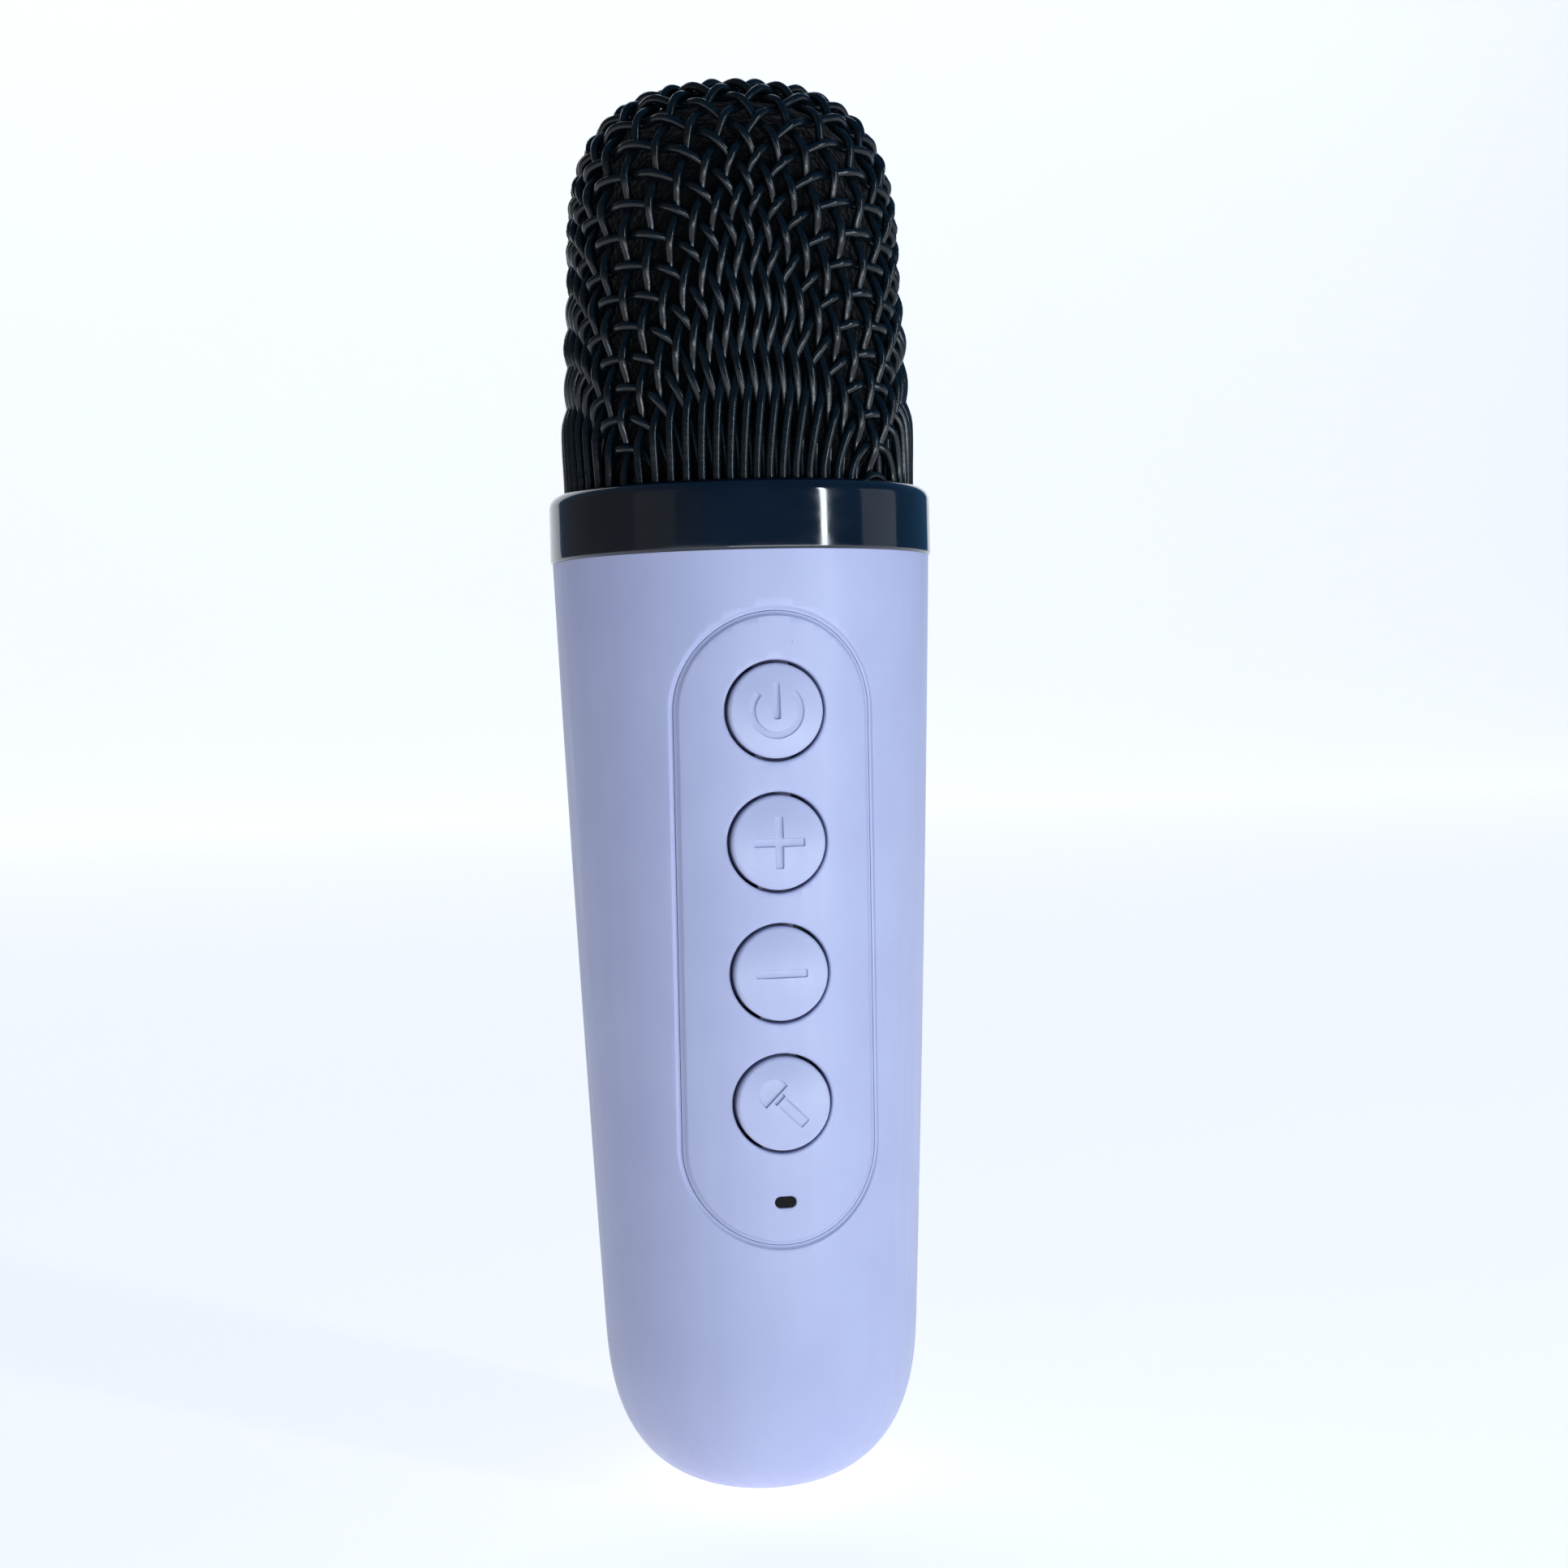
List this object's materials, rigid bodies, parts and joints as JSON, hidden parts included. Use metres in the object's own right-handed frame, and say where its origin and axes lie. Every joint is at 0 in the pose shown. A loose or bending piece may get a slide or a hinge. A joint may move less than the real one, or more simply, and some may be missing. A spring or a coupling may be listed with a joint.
{
  "type": "karaoke microphone",
  "caption": "Hand-held wireless karaoke microphone: tapered round handle with a domed end, push buttons on a flush panel, glossy collar and a woven wire grille.",
  "frame": {"origin": "lowest point of the handle's domed end, on the microphone's axis", "axes": "+Z along the microphone's axis from the domed end to the grille, -Y out of the side with the buttons, +X to the right seen from that side"},
  "size_m": [0.035, 0.035, 0.1284],
  "materials": {
    "shell_plastic": "satin lilac moulding",
    "button_plastic": "satin lilac moulding",
    "collar_gloss": "polished blue-black moulding",
    "grille_wire": "black coated steel wire",
    "rim_steel": "rolled band",
    "liner_foam": "open-cell foam",
    "boot_rubber": "soft moulded rubber",
    "capsule_alloy": "drawn can",
    "capsule_cloth": "thin black felt",
    "lead_jacket": "insulated wire",
    "board_laminate": "green solder mask",
    "screw_steel": "plated",
    "part_resin": "black moulding",
    "shield_tin": "tin plated sheet",
    "white_ceramic": "fired",
    "plunger_resin": "ivory moulding",
    "lens_resin": "smoked clear moulding",
    "cell_jacket": "blue shrink sleeve over the can"
  },
  "bodies": {
    "microphone": {"front_shell": "shell_plastic", "rear_shell": "shell_plastic", "button_panel": "shell_plastic", "collar_ring": "collar_gloss", "head_base": "part_resin", "grille_mesh": "grille_wire", "grille_rim": "rim_steel", "foam_liner": "liner_foam", "capsule_boot": "boot_rubber", "capsule": "capsule_alloy", "capsule_felt": "capsule_cloth", "capsule_leads": "lead_jacket", "circuit_board": "board_laminate", "board_screws": "screw_steel", "main_chip": "part_resin", "radio_module": "shield_tin", "crystal": "shield_tin", "antenna": "white_ceramic", "status_led": "white_ceramic", "light_pipe": "lens_resin", "power_switch": "part_resin", "volume_up_switch": "part_resin", "volume_down_switch": "part_resin", "voice_switch": "part_resin", "battery_cell": "cell_jacket", "battery_pad": "liner_foam", "battery_positive_lead": "lead_jacket", "battery_negative_lead": "lead_jacket", "charge_board": "board_laminate", "charge_screws": "screw_steel", "charge_chip": "part_resin", "usb_port": "shield_tin", "usb_tongue": "part_resin", "board_ribbon": "lead_jacket"},
    "power_key": {"power_button": "button_plastic", "power_plunger": "plunger_resin"},
    "volume_up_key": {"volume_up_button": "button_plastic", "volume_up_plunger": "plunger_resin"},
    "volume_down_key": {"volume_down_button": "button_plastic", "volume_down_plunger": "plunger_resin"},
    "voice_key": {"voice_button": "button_plastic", "voice_plunger": "plunger_resin"}
  },
  "joints": [
    {"name": "power_press", "type": "slide", "parent": "microphone", "child": "power_key", "axis": [0, 1, 0], "range_m": [0, 0.0005], "stiffness_N_per_m": 3000},
    {"name": "volume_up_press", "type": "slide", "parent": "microphone", "child": "volume_up_key", "axis": [0, 1, 0], "range_m": [0, 0.0005], "stiffness_N_per_m": 3000},
    {"name": "volume_down_press", "type": "slide", "parent": "microphone", "child": "volume_down_key", "axis": [0, 1, 0], "range_m": [0, 0.0005], "stiffness_N_per_m": 3000},
    {"name": "voice_press", "type": "slide", "parent": "microphone", "child": "voice_key", "axis": [0, 1, 0], "range_m": [0, 0.0005], "stiffness_N_per_m": 3000}
  ]
}
